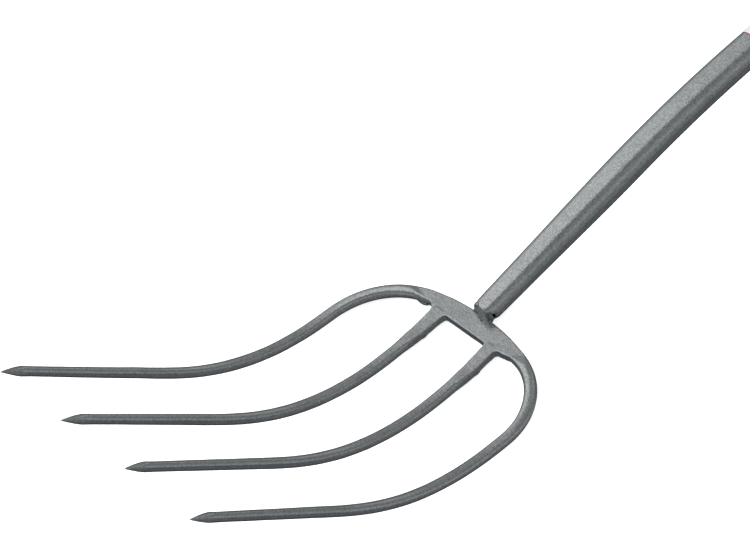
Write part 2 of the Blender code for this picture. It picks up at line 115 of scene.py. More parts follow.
BACK = [mount for mount in RECORD["mounts"] if mount["name"] == "crosspiece_back"][0]
BACK_NORMAL = -Vector(BACK["axis"])
TILT = HEAD_BEND + math.atan2(BACK_NORMAL.y, BACK_NORMAL.z)
LAY = Matrix.Rotation(-TILT, 3, "X")
LAID_AT = Vector(BACK["pos_m"]) - LAY @ unlaid(0, BACK_MOUNT_S, -PLATE_HALF)


def on_head(x, s, h=0.0):
    """The place in the frame of a point of the head: x across, s along, h off the middle."""
    return LAY @ unlaid(x, s, h) + LAID_AT


def corner_end():
    """Where the bend of the outer tine meets the crown, as (x, s)."""
    start, end = math.pi / 2 + OUTER_TINE_TAPER, math.pi - CROWN_ANGLE
    x = OUTER_TINE_X - OUTER_TINE_TAPER * OUTER_LEG
    x += CORNER_BEND_RADIUS * (math.sin(end) - math.sin(start))
    return x, OUTER_LEG + CORNER_BEND_RADIUS * (math.cos(start) - math.cos(end))


CORNER_X, CORNER_S = corner_end()
CROWN_RADIUS = CORNER_X / math.sin(CROWN_ANGLE)
CROWN_CENTRE_S = CORNER_S - CROWN_RADIUS * math.cos(CROWN_ANGLE)


def crown_s(x):
    """Height of the crown's middle line at x."""
    return CROWN_CENTRE_S + math.sqrt(CROWN_RADIUS ** 2 - x * x)


class Value:
    """A value on its way through a material. Values take part in sums, products and powers."""

    def __init__(self, network, socket):
        self.network = network
        self.socket = socket

    def with_other(self, operation, left, right):
        return self.network.node("ShaderNodeMath", {"operation": operation}, {0: left, 1: right})

    def __add__(self, other):
        return self.with_other("ADD", self, other)

    def __sub__(self, other):
        return self.with_other("SUBTRACT", self, other)

    def __rsub__(self, other):
        return self.with_other("SUBTRACT", other, self)

    def __mul__(self, other):
        return self.with_other("MULTIPLY", self, other)

    def __pow__(self, other):
        return self.with_other("POWER", self, other)

    __radd__ = __add__
    __rmul__ = __mul__


class Network:
    """The nodes of a material or of the room. node() adds each of them."""

    def __init__(self, tree):
        self.tree = tree

    def node(self, kind, settings=None, sockets=None, output=0):
        made = self.tree.nodes.new(kind)
        stops = (settings or {}).pop("stops", None)
        for name, value in (settings or {}).items():
            setattr(made, name, value)
        if stops:
            ramp = made.color_ramp
            while len(ramp.elements) < len(stops):
                ramp.elements.new(0.5)
            for element, (place, colour) in zip(ramp.elements, stops):
                element.position = place
                element.color = (*colour, 1)
        for name, value in (sockets or {}).items():
            if isinstance(value, Value):
                self.tree.links.new(value.socket, made.inputs[name])
            else:
                made.inputs[name].default_value = value
        return Value(self, made.outputs[output])

    def place(self):
        return self.node("ShaderNodeTexCoord", output="Object")

    def noise(self, scale, detail=2.0, roughness=0.5, place=None, distortion=0.0):
        sockets = {"Vector": place or self.place(), "Scale": scale, "Detail": detail,
                   "Roughness": roughness, "Distortion": distortion}
        return self.node("ShaderNodeTexNoise", None, sockets)

    def ramp(self, value, stops):
        return self.node("ShaderNodeValToRGB", {"stops": stops}, {"Fac": value})

    def spread(self, value, low, high, to_low=0.0, to_high=1.0):
        sockets = {"Value": value, "From Min": low, "From Max": high, "To Min": to_low,
                   "To Max": to_high}
        return self.node("ShaderNodeMapRange", {"clamp": True}, sockets)

    def mix(self, share, first, second, blend="MIX"):
        settings = {"data_type": "RGBA", "blend_type": blend}
        return self.node("ShaderNodeMix", settings, {0: share, 6: first, 7: second}, output=2)

    def bump(self, height, strength, distance, under=None):
        sockets = {"Height": height, "Strength": strength, "Distance": distance}
        if under:
            sockets["Normal"] = under
        return self.node("ShaderNodeBump", None, sockets)


class Finish(Network):
    """A material being made. Its shader is a Principled BSDF."""

    def __init__(self, name, **constants):
        self.material = bpy.data.materials.new(name)
        self.material.use_nodes = True
        super().__init__(self.material.node_tree)
        self.shader = self.tree.nodes["Principled BSDF"]
        for socket, value in constants.items():
            self.shader.inputs[socket.replace("_", " ")].default_value = value

    def surface(self, **sockets):
        for socket, value in sockets.items():
            self.tree.links.new(value.socket, self.shader.inputs[socket.replace("_", " ")])
        return self.material


def hammer_paint(name, painted_shade=1.0, lump=1.0):
    """Grey hammer-finish enamel: a mottle of pale and dark flake under an orange-peel skin. Its second
    argument scales all its colours down, as painted shade for pieces that lie in shadow.
    """
    finish = Finish(name, Specular_IOR_Level=0.5)
    flake = finish.noise(820, 3, 0.62)
    mottle = finish.noise(430, 2, 0.55)
    cloud = finish.noise(60, 2, 0.5)
    mixed = flake * 0.6 + mottle * 0.28 + cloud * 0.12
    colour = finish.ramp(mixed, [
        (0.38, (0.168 * painted_shade, 0.177 * painted_shade, 0.181 * painted_shade)),
        (0.50, (0.238 * painted_shade, 0.249 * painted_shade, 0.252 * painted_shade)),
        (0.62, (0.305 * painted_shade, 0.316 * painted_shade, 0.318 * painted_shade))])
    metal = finish.spread(mixed, 0.38, 0.62, 0.80, 0.90)
    rough = finish.spread(mottle, 0.35, 0.65, 0.16, 0.24)
    peel = finish.bump(finish.noise(640, 2, 0.5), 0.7, 0.00019 * lump)
    grain = finish.bump(flake, 0.5, 0.00008 * lump, peel)
    return finish.surface(Base_Color=colour, Metallic=metal, Roughness=rough, Normal=grain)


PAINT = hammer_paint("grey_hammer_paint")


def piece(name, mesh, material, slot, *nodes):
    """A finished piece in the frame: its object and its CAD node. The slot is not used."""
    obj = bpy.data.objects.new(name, mesh)
    bpy.context.scene.collection.objects.link(obj)
    mesh.materials.clear()
    mesh.materials.append(material)
    mesh.shade_smooth()
    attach(obj, "root")
    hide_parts(*nodes)
    return obj


def strip_mesh(name, rings, closed_ends=True):
    """A skin over rings of points, each ring a closed loop of the same count."""
    shape = bmesh.new()
    loops = [[shape.verts.new(point) for point in ring] for ring in rings]
    count = len(loops[0])
    for a, b in zip(loops, loops[1:]):
        for i in range(count):
            j = (i + 1) % count
            shape.faces.new((a[i], a[j], b[j], b[i]))
    if closed_ends:
        shape.faces.new(loops[0][::-1])
        shape.faces.new(loops[-1])
    bmesh.ops.recalc_face_normals(shape, faces=shape.faces)
    mesh = bpy.data.meshes.new(name)
    shape.to_mesh(mesh)
    shape.free()
    return mesh


def applied(obj, name):
    """The object's mesh with its modifiers worked in; the object is removed."""
    bpy.context.view_layer.update()
    graph = bpy.context.evaluated_depsgraph_get()
    mesh = bpy.data.meshes.new_from_object(obj.evaluated_get(graph))
    mesh.name = name
    bpy.data.objects.remove(obj)
    return mesh


def bar_section(half_across, half_high, squareness, count=28):
    """A closed section, from round at squareness 2 to a rounded rectangle above it."""
    points = []
    for angle in np.linspace(0, 2 * math.pi, count, endpoint=False):
        c, w = math.cos(angle), math.sin(angle)
        across = half_across * math.copysign(abs(c) ** (2 / squareness), c)
        high = half_high * math.copysign(abs(w) ** (2 / squareness), w)
        points.append((across, high))
    return points


def swept_bar(path, count=28):
    """Rings along a path of (x, s, half across, half high, squareness), square to the path."""
    rings = []
    for k, (x, s, wide, high, squareness) in enumerate(path):
        before, after = path[max(k - 1, 0)], path[min(k + 1, len(path) - 1)]
        along = Vector((after[0] - before[0], after[1] - before[1])).normalized()
        ring = []
        for across, off in bar_section(wide, high, squareness, count):
            ring.append((x + along.y * across, s - along.x * across, off))
        rings.append(ring)
    return rings


def arc_points(centre, radius, start, end, count):
    return [(centre[0] + radius * math.cos(a), centre[1] + radius * math.sin(a))
            for a in np.radians(np.linspace(start, end, count))]


ARM_END_X = OUTER_JOINT_X + 0.003
ARM_UNDERSIDE = (0.0432, 0.3836)
CROWN_PROUD, CROWN_FADE = 0.0006, 0.015
BAND_S = 0.3800
OUTER_FILLET, INNER_FILLET = 0.0026, 0.0022
LUG_END_HALF, LUG_END_S = 0.0040, 0.3680


def half_outline(side):
    """One half of the crosspiece seen square on, from the middle of the crown to the band."""
    lug, reach = side * LUG_ROOT_X[side], LUG_ROOT_HALF[side]
    tip = side * LUG_X[side]
    half = [(x, crown_s(x) + CORNER_BAR + CROWN_PROUD * min(1, (ARM_END_X - x) / CROWN_FADE))
            for x in np.linspace(0, ARM_END_X, 14)]
    half += [(ARM_END_X, crown_s(OUTER_JOINT_X) - CORNER_BAR + 0.0002), ARM_UNDERSIDE]
    half += arc_points((lug + reach + OUTER_FILLET, BAND_S), OUTER_FILLET, 80, 180, 5)
    half += [(tip + LUG_END_HALF, LUG_END_S), (tip - LUG_END_HALF, LUG_END_S)]
    half += arc_points((lug - reach - INNER_FILLET, BAND_S), INNER_FILLET, 0, 90, 5)
    return [(side * x, s) for x, s in half]


def roughened(mesh, *waves):
    """The mesh with its skin moved in and out by waves of noise, each (fineness, height)."""
    normals = [vertex.normal.copy() for vertex in mesh.vertices]
    for vertex, normal in zip(mesh.vertices, normals):
        place = vertex.co.copy()
        vertex.co += normal * sum(noise.noise(place * fineness) * height for fineness, height in waves)
    return mesh


LUG_TOP_S = 0.384
LUG_SUNK, LUG_SUNK_S, LUG_SUNK_RUN = 0.0005, 0.3715, 0.004
FORGING_GRAIN = 0.00048


def forged_crosspiece():
    """The forging: its overlapping masses are fused into one skin, and the corners are softened."""
    outline = half_outline(1) + half_outline(-1)[:0:-1]
    shape = bmesh.new()
    top = [shape.verts.new(on_head(x, s, PLATE_HALF)) for x, s in outline]
    low = [shape.verts.new(on_head(x, s, -PLATE_HALF)) for x, s in outline]
    shape.faces.new(top)
    shape.faces.new(low[::-1])
    for i in range(len(outline)):
        j = (i + 1) % len(outline)
        shape.faces.new((top[i], low[i], low[j], top[j]))
    bmesh.ops.recalc_face_normals(shape, faces=shape.faces)
    mesh = bpy.data.meshes.new("crosspiece_blank")
    shape.to_mesh(mesh)
    shape.free()
    blank = bpy.data.objects.new("crosspiece_blank", mesh)
    bpy.context.scene.collection.objects.link(blank)
    masses = [tang()]
    for side in (-1, 1):
        path = []
        for s in np.linspace(INNER_JOINT_S - 0.0015, LUG_TOP_S, 24):
            wide, high, squareness = lug_size(side, s)
            under = LUG_SUNK * clamped((LUG_SUNK_S - s) / LUG_SUNK_RUN)
            path.append((inner_x(side, s), s, wide - under, high - under, squareness))
        masses.append(strip_mesh("lug", [[on_head(*p) for p in ring] for ring in swept_bar(path)]))
    shape = bmesh.new()
    for mass in [mesh, *masses]:
        shape.from_mesh(mass)
    shape.to_mesh(mesh)
    shape.free()
    fuse = blank.modifiers.new("fuse", "REMESH")
    fuse.mode = "VOXEL"
    fuse.voxel_size = FORGING_GRAIN
    soften = blank.modifiers.new("soften", "SMOOTH")
    soften.factor = 0.5
    soften.iterations = 7
    mesh = roughened(applied(blank, "crosspiece"), (90, 0.00018), (260, 0.00005))
    return piece("forged_crosspiece", mesh, PAINT, "hammer_paint", "crosspiece")


SET_OVER_S, SET_OVER_RUN = 0.290, 0.070
LUG_ROOT_S, LUG_ROOT_RUN = 0.357, 0.023
SQUARING_S, SQUARING_RUN = 0.336, 0.030
BAR_HALF_THERE = 0.00505


def towards_root(s):
    """How far s is from the lug's end to its root, from 0 to 1."""
    return clamped((s - LUG_ROOT_S) / LUG_ROOT_RUN)


def inner_x(side, s):
    """The middle of an inner tine across the head, set over to its lug near the root."""
    splay = INNER_TINE_SPLAY * max(1 - s / INNER_JOINT_S, 0)
    over = (LUG_X[side] - side * INNER_TINE_X) * smooth((s - SET_OVER_S) / SET_OVER_RUN)
    over += (LUG_ROOT_X[side] - LUG_X[side]) * towards_root(s)
    return side * (INNER_TINE_X + splay) + over


def lug_size(side, s):
    """(half across, half high, squareness) of an inner tine near its lug."""
    share = smooth((s - SQUARING_S) / SQUARING_RUN)
    wide = BAR_HALF_THERE + (LUG_HALF - BAR_HALF_THERE) * share
    wide += (LUG_ROOT_HALF[side] - LUG_HALF) * towards_root(s)
    high = BAR_HALF_THERE + (PLATE_HALF + 0.0002 - BAR_HALF_THERE) * share
    return wide, high, 2 + 4.0 * share


NECK_ANGLE = math.radians(52.9)
NECK = LAY @ Vector((0, 0.3645, 0.1109)) + LAID_AT
NECK_ALONG = LAY @ Vector((0, math.cos(NECK_ANGLE), math.sin(NECK_ANGLE)))
NECK_UP = LAY @ Vector((0, -math.sin(NECK_ANGLE), math.cos(NECK_ANGLE)))
SIDEWAYS = Vector((1, 0, 0))
TANG = [(-0.002, 0.0056), (0.008, 0.0056), (0.012, 0.0076), (0.035, 0.0074), (0.038, 0.0066)]
SLOT_DEPTH, SLOT_TURN, SLOT_EASE = 0.0026, (-66, 24), (14, 16)
LIP_LENGTH, LIP_TURN, LIP_EASE = 0.0024, (30, 118), (14, 34)


def within(turn, ends, eases):
    """1 between the two ends and 0 past them, with a soft change at each."""
    return smooth((turn - ends[0]) / eases[0]) * smooth((ends[1] - turn) / eases[1])


def rim_shift(degrees):
    """The end of the tube is cut askew: a lip reaches down on top, and a slot is left on the right."""
    turn = (degrees + 120) % 360 - 120
    return SLOT_DEPTH * within(turn, SLOT_TURN, SLOT_EASE) - LIP_LENGTH * within(turn, LIP_TURN, LIP_EASE)


def round_at(along, radius, turn):
    """A point at an angle round the neck's axis."""
    return NECK + NECK_ALONG * along + (SIDEWAYS * math.cos(turn) + NECK_UP * math.sin(turn)) * radius


def tang():
    """The round stub that the tube is pushed over."""
    turns = np.linspace(0, 2 * math.pi, 32, endpoint=False)
    return strip_mesh("tang", [[round_at(along, radius, turn) for turn in turns] for along, radius in TANG])


forged_crosspiece()

# ---------------------------------------------------------------- tines
# Four steel bars, drawn down from 10 mm at the root to 7 mm, with a short four-sided ground point.
# The inner pair run nearly straight from the lugs. The outer pair turn a corner and run up to the
# arms of the crosspiece, where the hammer has flattened them to the plate's thickness.
POINT_LENGTH, POINT_TIP, POINT_SWELL, POINT_CURVE = 0.0200, 0.0004, 1.05, 1.12
TINE_LOW, TINE_ROOT = 0.0037, 0.0050
PAINT_COAT = 0.00015
TINE_STEP = 0.0022
FLAT_START, FLAT_END = (0.0410, 0.3810), {-1: (0.0700, 0.3880), 1: (0.0560, 0.3925)}
FLAT_PROUD, FLAT_RISE = 0.00018, {-1: 0.5, 1: 0.15}
FLAT_SINKING, FLAT_SINKING_X = 0.06, 0.047


def tine_radius(s):
    return PAINT_COAT + TINE_LOW + (TINE_ROOT - TINE_LOW) * s / INNER_JOINT_S


def point_size(s, radius):
    """(half size, squareness) near the point: a four-sided taper that swells a little behind it."""
    if s >= POINT_LENGTH * 1.5:
        return radius, 2.0
    share = min(s / POINT_LENGTH, 1)
    size = POINT_TIP + (radius * POINT_SWELL - POINT_TIP) * (1 - (1 - share) ** POINT_CURVE)
    easing = clamped((s - POINT_LENGTH) / (POINT_LENGTH * 0.5))
    facets = (1 - max(share - 0.35, 0) / 0.65) * (1 - easing)
    return size * (1 - (POINT_SWELL - 1) * easing), 2.0 + 2.2 * facets


def laid(rings):
    return [[on_head(*point) for point in ring] for ring in rings]


POINT_DROP, BAR_DROP, DROP_END_S, DROP_RUN = 0.0010, 0.0004, 0.33, 0.08


def dropped(rings):
    """The rings moved towards the back of the head: a little all along, and more at the point."""
    result = []
    for ring in rings:
        s = sum(point[1] for point in ring) / len(ring)
        drop = POINT_DROP * max(1 - s / POINT_LENGTH, 0) ** 1.2
        drop += BAR_DROP * clamped((DROP_END_S - s) / DROP_RUN)
        result.append([(x, s, h - drop) for x, s, h in ring])
    return result


WAVER = 0.022


def wavered(rings, seed):
    """The rings with the slight unevenness of a hand-fed hammer."""
    result = []
    for ring in rings:
        centre = sum((Vector(p) for p in ring), Vector()) / len(ring)
        moved = []
        for p in ring:
            offset = Vector(p) - centre
            wave = noise.noise(Vector((p[0] * 60, p[1] * 60, p[2] * 200 + seed)))
            moved.append(centre + offset * (1 + WAVER * wave))
        result.append(moved)
    return result


LEFT_TINE_LONGER = 0.0018
BAR_START, INNER_TINE_END = 0.032, 0.380
SINKING_S, SINKING = 0.3680, 0.035


def inner_tine(word, side):
    """The left one was cut a little longer. Both run over their lugs and sink into them."""
    longer = LEFT_TINE_LONGER if side < 0 else 0
    ss = [*np.linspace(-longer, POINT_LENGTH * 1.5, 16), *np.arange(BAR_START, INNER_TINE_END, TINE_STEP)]
    path = []
    for s in ss:
        size, squareness = point_size(s + longer * max(1 - s / 0.030, 0), tine_radius(s))
        wide, high = size, size
        if s > SQUARING_S:
            wide, high, squareness = lug_size(side, s)
            under = SINKING * max(s - SINKING_S, 0)
            wide, high = wide - under, high - under
        path.append((inner_x(side, s), s, wide, high, squareness))
    rings = laid(dropped(wavered(swept_bar(path), 3 + side)))
    mesh = strip_mesh(f"inner_tine_{word}", rings)
    return piece(f"drawn_inner_tine_{word}", mesh, PAINT, "hammer_paint", f"inner_tine_{word}")


OUTER_TINE_END_X = OUTER_JOINT_X - 0.0055
THINNING, THINNING_X, THINNING_RUN = 0.0008, 0.0445, 0.004


def outer_line():
    """(x, s, radius) along the right outer tine, from its point to its joint."""
    line = [(OUTER_TINE_X - OUTER_TINE_TAPER * s, s, tine_radius(s))
            for s in [*np.linspace(0, POINT_LENGTH * 1.5, 16), *np.arange(BAR_START, OUTER_LEG, TINE_STEP)]]
    start, end = math.pi / 2 + OUTER_TINE_TAPER, math.pi - CROWN_ANGLE
    x0, root = OUTER_TINE_X - OUTER_TINE_TAPER * OUTER_LEG, tine_radius(OUTER_LEG)
    for turn in np.linspace(start, end, 40):
        x = x0 + CORNER_BEND_RADIUS * (math.sin(turn) - math.sin(start))
        s = OUTER_LEG + CORNER_BEND_RADIUS * (math.cos(start) - math.cos(turn))
        line.append((x, s, root + (CORNER_BAR - root) * (turn - start) / (end - start)))
    for x in np.linspace(CORNER_X, OUTER_TINE_END_X, 9)[1:]:
        line.append((x, crown_s(x), CORNER_BAR - THINNING * max((THINNING_X - x) / THINNING_RUN, 0)))
    return line


def flattened(x, s, h):
    """h after the hammer has struck the arm flat, up to a slanting line across the bar."""
    end = FLAT_END[1 if x > 0 else -1]
    run = Vector((end[0] - FLAT_START[0], end[1] - FLAT_START[1])).normalized()
    past = (abs(x) - FLAT_START[0]) * run.y - (s - FLAT_START[1]) * run.x
    limit = PLATE_HALF + FLAT_PROUD + FLAT_RISE[1 if x > 0 else -1] * max(past, 0)
    limit -= FLAT_SINKING * max(FLAT_SINKING_X - abs(x), 0)
    return math.copysign(min(abs(h), limit), h)


BENT_UP, BENT_UP_S, BENT_UP_RUN = 0.0005, 0.15, 0.04
BENT_DOWN, BENT_DOWN_S, BENT_DOWN_RUN = 0.0011, 0.29, 0.055


def bent(s):
    """The left outer tine has been bent a little: up at the middle, and down where it curves up."""
    up = BENT_UP * math.exp(-((s - BENT_UP_S) / BENT_UP_RUN) ** 2)
    return up - BENT_DOWN * math.exp(-((s - BENT_DOWN_S) / BENT_DOWN_RUN) ** 2)


STRUCK_X, STRUCK_RUN = 0.066, 0.016
STRUCK_WIDER, STRUCK_SQUARER = 0.0002, 1.4


def outer_tine(word, side):
    """Hammering the arm flat has made it a little wider and squarer."""
    path = []
    for x, s, radius in outer_line():
        size, squareness = point_size(s, radius)
        share = clamped((STRUCK_X - x) / STRUCK_RUN)
        wide = size + STRUCK_WIDER * share
        squareness = squareness + STRUCK_SQUARER * share * share
        path.append((side * x, s, wide, size, squareness))
    rings = wavered(swept_bar(path), 8 + side)
    rings = [[(x, s, flattened(x, s, h)) for x, s, h in ring] for ring in rings]
    if side < 0:
        rings = [[(x, s, h + bent(s)) for x, s, h in ring] for ring in rings]
    mesh = strip_mesh(f"outer_tine_{word}", laid(dropped(rings)))
    return piece(f"drawn_outer_tine_{word}", mesh, PAINT, "hammer_paint", f"outer_tine_{word}")


for word, side in (("left", -1), ("right", 1)):
    inner_tine(word, side)
    outer_tine(word, side)

# ---------------------------------------------------------------- tine welds
# Each tine is welded to its lug or arm. The beads are dressed nearly flush on the face and left
# proud below, where the left outer one has sagged into a lump.
# The welds carry the same enamel darkened to 0.82: painted shade, for the dark that the weld fillets lie
# in. The 1.8 makes their skin lumpier.
SHADED_WELD_PAINT = hammer_paint("grey_paint_on_weld_with_painted_shade", 0.82, 1.8)
BEAD_THIN = 0.0005
INNER_BEAD_FAT, INNER_BEAD_TURN, INNER_BEAD_STRETCH = 0.0007, 0.6, 3.2
OUTER_BEAD_FAT, OUTER_BEAD_TURN, OUTER_BEAD_STRETCH = {-1: 0.0021, 1: 0.0007}, 0.95, 2.7
LEFT_WELD_FURTHER_OUT = 0.0104


def joined(mesh):
    """The mesh with points in the same place made one, where its last ring meets its first."""
    shape = bmesh.new()
    shape.from_mesh(mesh)
    bmesh.ops.remove_doubles(shape, verts=shape.verts, dist=1e-6)
    bmesh.ops.recalc_face_normals(shape, faces=shape.faces)
    shape.to_mesh(mesh)
    shape.free()
    return mesh


def bead(name, node, seam, fat, closed=True, stretch=1.5):
    """A weld bead along a seam of (place, outward) pairs. fat(turn) is its half thickness."""
    count = len(seam)
    rings = []
    for k, (place, outward) in enumerate(seam):
        before, after = seam[k - 1][0], seam[(k + 1) % count][0]
        if not closed:
            before, after = seam[max(k - 1, 0)][0], seam[min(k + 1, count - 1)][0]
        run = (after - before).normalized()
        over = run.cross(outward).normalized()
        thick = fat(k / count) * (1 + 0.12 * math.sin(k * 1.9))
        rings.append([place + (outward * math.cos(a) + over * stretch * math.sin(a)) * thick
                      for a in np.linspace(0, 2 * math.pi, 12, endpoint=False)])
    if closed:
        rings.append(rings[0])
    mesh = joined(strip_mesh(name, rings, closed_ends=not closed))
    return piece(name, mesh, SHADED_WELD_PAINT, "painted_weld", node)


def bar_seam(x, s, along, wide, high, squareness):
    """The seam round a bar of this section. It starts on the side that along x (0, 0, 1) gives."""
    centre = Vector(on_head(x, s))
    seam = []
    for across, off in bar_section(wide, high, squareness, 72):
        place = on_head(x + along[1] * across, s - along[0] * across, off)
        seam.append((place, (place - centre).normalized()))
    return seam


def inner_weld(word, side):
    """Fattest below, towards the right of the tine."""
    s = INNER_JOINT_S
    wide, high, squareness = lug_size(side, s)
    seam = bar_seam(inner_x(side, s), s, (0, 1), wide - 0.0006, high - 0.0006, squareness)

    def fat(turn):
        return BEAD_THIN + INNER_BEAD_FAT * max(-math.sin(2 * math.pi * turn - INNER_BEAD_TURN), 0)

    return bead(f"weld_bead_inner_{word}", f"inner_weld_{word}", seam, fat, stretch=INNER_BEAD_STRETCH)


def outer_weld(word, side):
    """The left one was laid further out along the arm, and has sagged into a lump below it."""
    x = side * OUTER_JOINT_X + min(side, 0) * LEFT_WELD_FURTHER_OUT
    seam = bar_seam(x, crown_s(x), (1, 0), CORNER_BAR - 0.0006, PLATE_HALF - 0.0005, 4.2)

    def fat(turn):
        sag = max(math.cos(2 * math.pi * turn + OUTER_BEAD_TURN), 0)
        return BEAD_THIN + OUTER_BEAD_FAT[side] * sag ** 2.2

    return bead(f"weld_bead_outer_{word}", f"outer_weld_{word}", seam, fat, stretch=OUTER_BEAD_STRETCH)


for word, side in (("left", -1), ("right", 1)):
    inner_weld(word, side)
    outer_weld(word, side)

# ---------------------------------------------------------------- shaft
# A length of 27 mm steel tube. Its lower end is swaged to a cone that goes over the tang, and above
# the cone it is cranked back, so that the grip comes down in line with the load.
NECK_RADIUS, TUBE_RADIUS, TUBE_WALL = 0.0105, 0.01345, 0.0016
CONE_LENGTH, CONE_SHOULDER = 0.150, 0.06
TURNED_IN, TURNED_IN_LENGTH = 0.0007, 0.004
ASKEW_LENGTH = 0.012
CRANK_START, CRANK_RADIUS, CRANK_ANGLE = 0.167, 1.0, math.radians(13.0)
TUBE_LENGTH = 0.600


def shaft_frame(length):
    """(centre, along, up) on the shaft's axis at a length from its lower end."""
    turned = min(max(length - CRANK_START, 0) / CRANK_RADIUS, CRANK_ANGLE)
    after = max(length - CRANK_START - CRANK_ANGLE * CRANK_RADIUS, 0)
    angle = NECK_ANGLE - turned
    y = min(length, CRANK_START) * math.cos(NECK_ANGLE) + after * math.cos(angle)
    z = min(length, CRANK_START) * math.sin(NECK_ANGLE) + after * math.sin(angle)
    y += CRANK_RADIUS * (math.sin(NECK_ANGLE) - math.sin(angle))
    z += CRANK_RADIUS * (math.cos(angle) - math.cos(NECK_ANGLE))
    centre = NECK + LAY @ Vector((0, y, z))
    along = LAY @ Vector((0, math.cos(angle), math.sin(angle)))
    return centre, along, SIDEWAYS.cross(along)


def tube_radius(length):
    """The swaged cone with a soft shoulder, closed in a little at its very end."""
    share = min(max(length, 0) / CONE_LENGTH, 1)
    blend = share - CONE_SHOULDER * math.sin(2 * math.pi * share) * share
    end = max(1 - length / TURNED_IN_LENGTH, 0)
    return NECK_RADIUS + (TUBE_RADIUS - NECK_RADIUS) * blend - TURNED_IN * end * end


def tube_ring(length, radius):
    """A ring of the tube. Near its end, the rings follow the skewed cut."""
    centre, along, up = shaft_frame(length)
    ring = []
    for angle in np.linspace(0, 2 * math.pi, 96, endpoint=False):
        back_cut = rim_shift(math.degrees(angle)) * max(1 - length / ASKEW_LENGTH, 0)
        out = SIDEWAYS * math.cos(angle) + up * math.sin(angle)
        ring.append(centre + out * radius + along * back_cut)
    return ring


def shaft():
    lengths = [0.0, 0.0006, 0.0014, 0.0026, 0.004, 0.006, *np.linspace(0.009, TUBE_LENGTH, 150)]
    outside = [tube_ring(length, tube_radius(length)) for length in lengths]
    inside = [tube_ring(length, tube_radius(length) - TUBE_WALL) for length in reversed(lengths[::3])]
    inside.append(tube_ring(0.0003, tube_radius(0) - TUBE_WALL * 0.8))
    lip = [tube_ring(0.0, tube_radius(0) - TUBE_WALL * 0.4)]
    rings = lip + outside + inside + lip
    mesh = joined(strip_mesh("shaft", rings, closed_ends=False))
    return piece("cranked_shaft", mesh, PAINT, "hammer_paint", "shaft_tube")


shaft()

# ---------------------------------------------------------------- neck weld
# A fillet of weld runs round the foot of the tube and fills the step down to the plate. It stops
# short on the right, where the end of the tube still stands open.
NECK_BEAD_AT, NECK_BEAD_RADIUS, NECK_BEAD_THICK = -0.0007, 0.0089, 0.0013
COLLAR_STEPS = 14
COLLAR_END, COLLAR_RADIUS = -0.0001, 0.0096
FOOT_S, FOOT_LEFT, FOOT_RIGHT = crown_s(0) + CORNER_BAR - 0.0012, 0.0124, 0.0092
FOOT_FRONT, FOOT_BACK, FOOT_FALL = 0.0008, 0.0024, 22


def neck_fillet():
    """The fillet itself, from the top edge of the plate up to the end of the tube."""
    turns = np.linspace(0, 2 * math.pi, 72, endpoint=False)
    collar = []
    for k in range(COLLAR_STEPS + 1):
        share = k / COLLAR_STEPS
        ring = []
        for turn in turns:
            reach = FOOT_RIGHT if math.cos(turn) > 0 else FOOT_LEFT
            wide = math.copysign(abs(math.cos(turn)) ** 0.6, math.cos(turn)) * reach
            high = math.copysign(abs(math.sin(turn)) ** 0.5, math.sin(turn))
            high *= FOOT_FRONT if high > 0 else FOOT_BACK
            foot = on_head(wide, FOOT_S - FOOT_FALL * wide ** 2 / 2, high)
            top = COLLAR_END + min(rim_shift(math.degrees(turn)), 0)
            ring.append(foot.lerp(round_at(top, COLLAR_RADIUS, turn), share))
        collar.append(ring)
    mesh = roughened(strip_mesh("weld_fillet_neck", collar), (330, 0.00035))
    # The fillet wears the darkened weld enamel: painted shade for the dark step under the end of the tube.
    return piece("weld_fillet_neck", mesh, SHADED_WELD_PAINT, "painted_weld", "neck_weld")


def neck_bead():
    """The last run of weld, behind the neck, thin where it starts and stops."""
    def fat(turn):
        return NECK_BEAD_THICK * min(1, 0.3 + 8 * turn, 0.3 + 8 * (1 - turn))

    seam = []
    for turn in np.radians(np.linspace(100, 300, 60)):
        place = round_at(NECK_BEAD_AT, NECK_BEAD_RADIUS, turn)
        seam.append((place, (place - round_at(NECK_BEAD_AT, 0, 0)).normalized()))
    return bead("weld_bead_neck", "neck_weld", seam, fat, closed=False)


neck_fillet()
neck_bead()

# ---------------------------------------------------------------- label
# A coated paper label is wrapped round the front of the shaft: white, with a thin red border, round
# corners and plain bars where its printing would be.
LABEL_START, LABEL_LENGTH = 0.3034, 0.1003
LABEL_FROM, LABEL_TO = math.radians(-82), math.radians(139)
LABEL_CORNER = 0.003
LABEL_THICK, LABEL_LIFT = 0.00010, 0.00012
BORDER_INNER, BORDER_OUTER = 0.0010, 0.0006
BAR_MARGIN, BAR_FROM, BAR_TO = 0.0040, 0.72, 0.90
DOT_ACROSS, DOT_LENGTH = 0.78, 0.085
DOT_SQUARED = 0.000015


